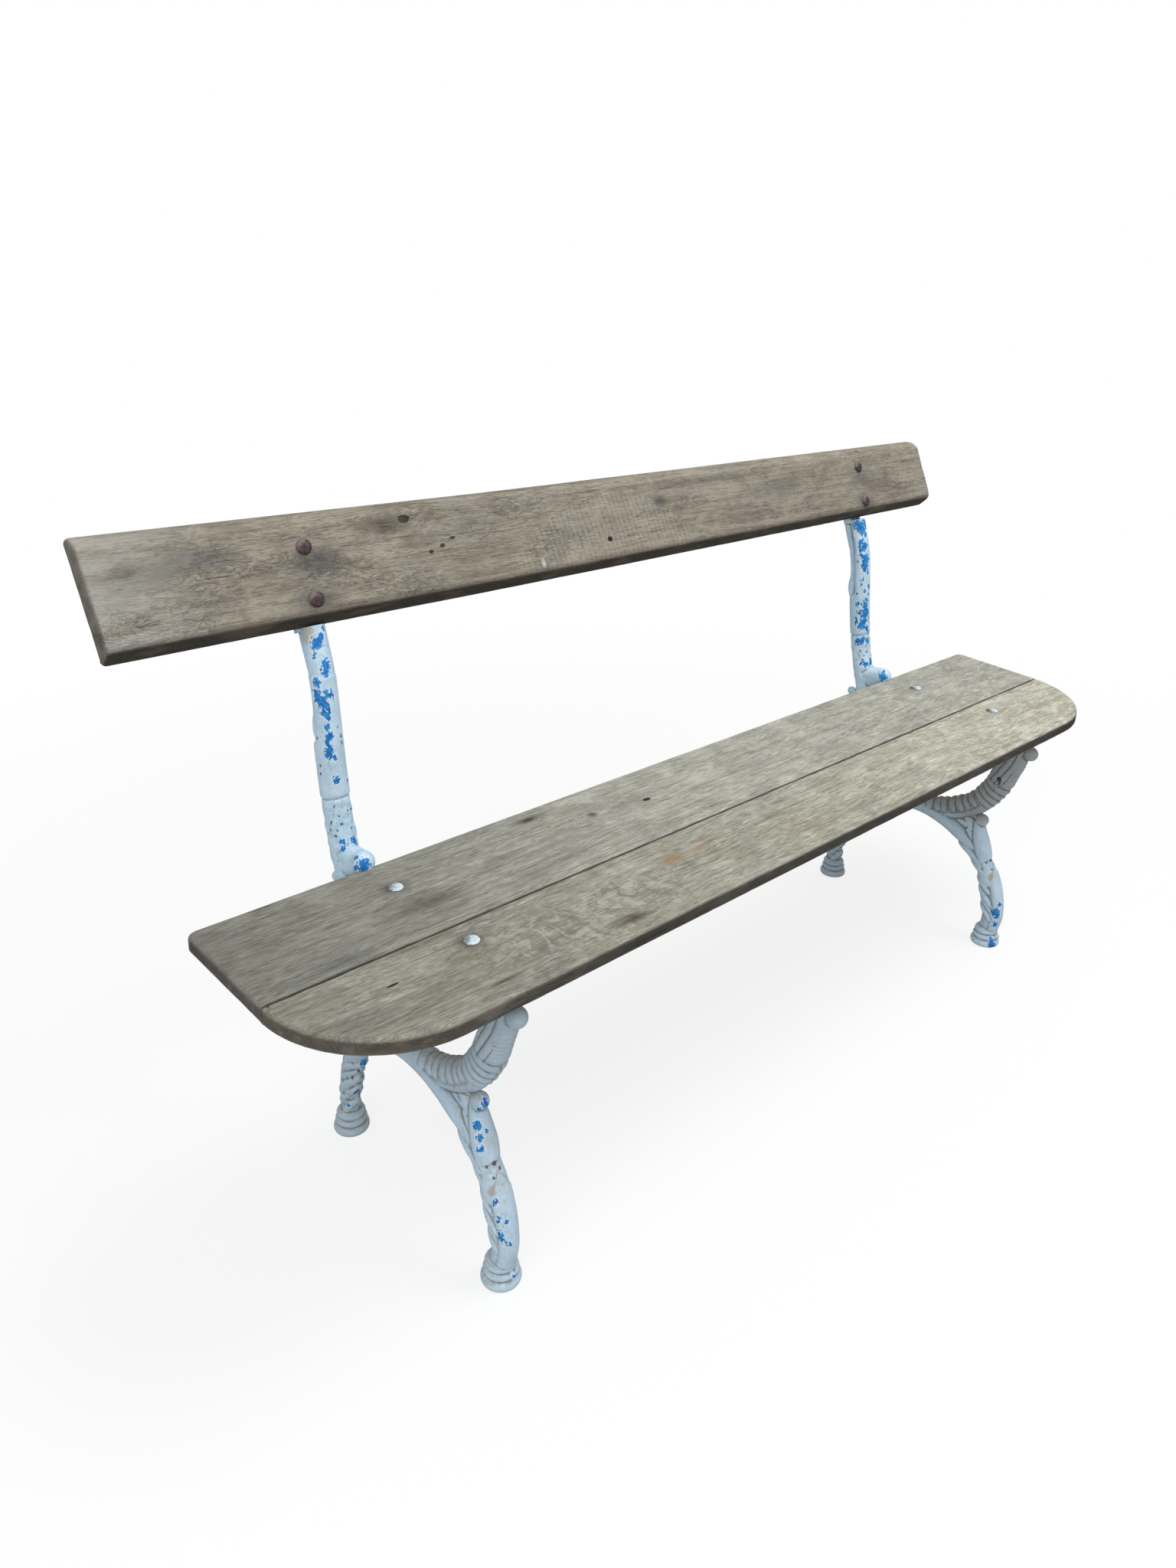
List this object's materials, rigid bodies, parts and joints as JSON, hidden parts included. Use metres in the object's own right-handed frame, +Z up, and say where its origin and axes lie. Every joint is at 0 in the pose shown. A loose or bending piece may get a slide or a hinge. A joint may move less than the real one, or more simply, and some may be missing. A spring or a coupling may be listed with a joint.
{
  "type": "garden bench",
  "caption": "Garden bench with ornate cast iron ends, rounded oak seat planks and a reclined oak back plank held by domed coach bolts.",
  "frame": {"origin": "on the ground, in the middle of the bench's outline seen from above", "axes": "+X along the bench towards its right end, +Y towards the back, +Z up"},
  "size_m": [1.6582, 0.4878, 0.8613],
  "materials": {
    "casting_paint": "worn pale blue-white paint over cast iron, chipped to an older bright blue coat",
    "seat_wood": "weathered grey-brown oak, open grain, oiled by wear",
    "back_wood": "weathered grey-brown oak, open grain",
    "seat_bolt_head": "worn white paint",
    "back_bolt_head": "dark brown, rusted and polished by touch",
    "fixing_steel": "dull, lightly rusted"
  },
  "bodies": {
    "root": {"left_end_casting": "casting_paint", "right_end_casting": "casting_paint", "seat_front_plank": "seat_wood", "seat_rear_plank": "seat_wood", "back_plank": "back_wood", "seat_bolt_left_front": "seat_bolt_head", "seat_bolt_left_rear": "seat_bolt_head", "seat_bolt_right_front": "seat_bolt_head", "seat_bolt_right_rear": "seat_bolt_head", "seat_washer_left_front": "fixing_steel", "seat_washer_left_rear": "fixing_steel", "seat_washer_right_front": "fixing_steel", "seat_washer_right_rear": "fixing_steel", "seat_nut_left_front": "fixing_steel", "seat_nut_left_rear": "fixing_steel", "seat_nut_right_front": "fixing_steel", "seat_nut_right_rear": "fixing_steel", "back_bolt_left_lower": "back_bolt_head", "back_bolt_left_upper": "back_bolt_head", "back_bolt_right_lower": "back_bolt_head", "back_bolt_right_upper": "back_bolt_head", "back_washer_left_lower": "fixing_steel", "back_washer_left_upper": "fixing_steel", "back_washer_right_lower": "fixing_steel", "back_washer_right_upper": "fixing_steel", "back_nut_left_lower": "fixing_steel", "back_nut_left_upper": "fixing_steel", "back_nut_right_lower": "fixing_steel", "back_nut_right_upper": "fixing_steel"}
  },
  "joints": []
}
